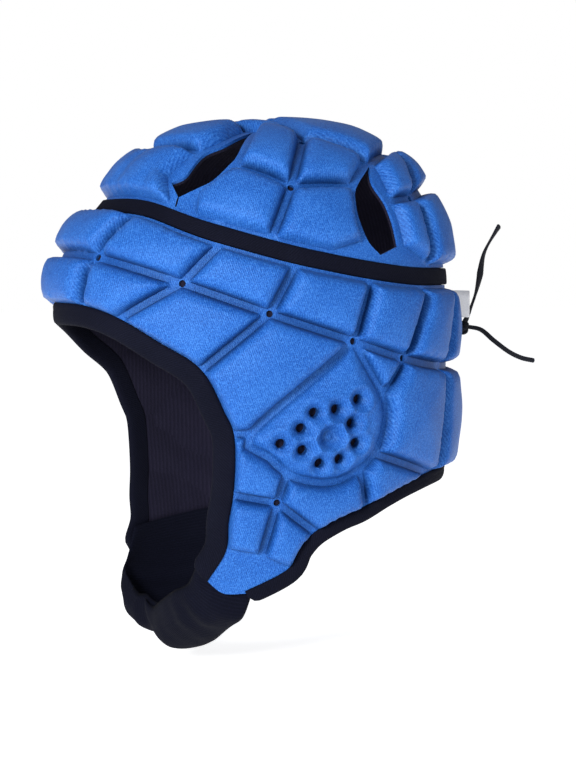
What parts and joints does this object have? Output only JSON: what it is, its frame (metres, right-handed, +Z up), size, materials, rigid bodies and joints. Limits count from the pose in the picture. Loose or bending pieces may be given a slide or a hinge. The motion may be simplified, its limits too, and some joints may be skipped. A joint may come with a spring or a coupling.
{
  "type": "rugby scrum cap",
  "caption": "Soft padded scrum cap for rugby with moulded foam pads, eye-shaped vents, pierced ear domes, a soft chin strap and a lace across the gap at the back.",
  "frame": {"origin": "top of the hollow inside the crown, where the top of the wearer's head sits", "axes": "+Z up, the wearer looks along -Y, +X to the wearer's left"},
  "size_m": [0.18, 0.2628, 0.2695],
  "materials": {
    "panel_cloth": "satin knit over foam",
    "lining_cloth": "matt knit",
    "tape_cloth": "matt woven tape",
    "strap_cloth": "matt brushed knit",
    "lace_cord": "matt braid",
    "label_cloth": "satin woven tape"
  },
  "bodies": {
    "root": {"crown_panel": "panel_cloth", "side_panel": "panel_cloth", "crown_lining": "lining_cloth", "side_lining": "lining_cloth", "crown_band": "tape_cloth", "face_binding": "tape_cloth", "neck_binding_left": "tape_cloth", "neck_binding_right": "tape_cloth", "chin_strap_left": "strap_cloth", "chin_strap_right": "strap_cloth", "rear_lace": "lace_cord", "lace_knot": "lace_cord", "lace_end_up": "lace_cord", "lace_end_down": "lace_cord", "rear_label": "label_cloth"}
  },
  "joints": []
}
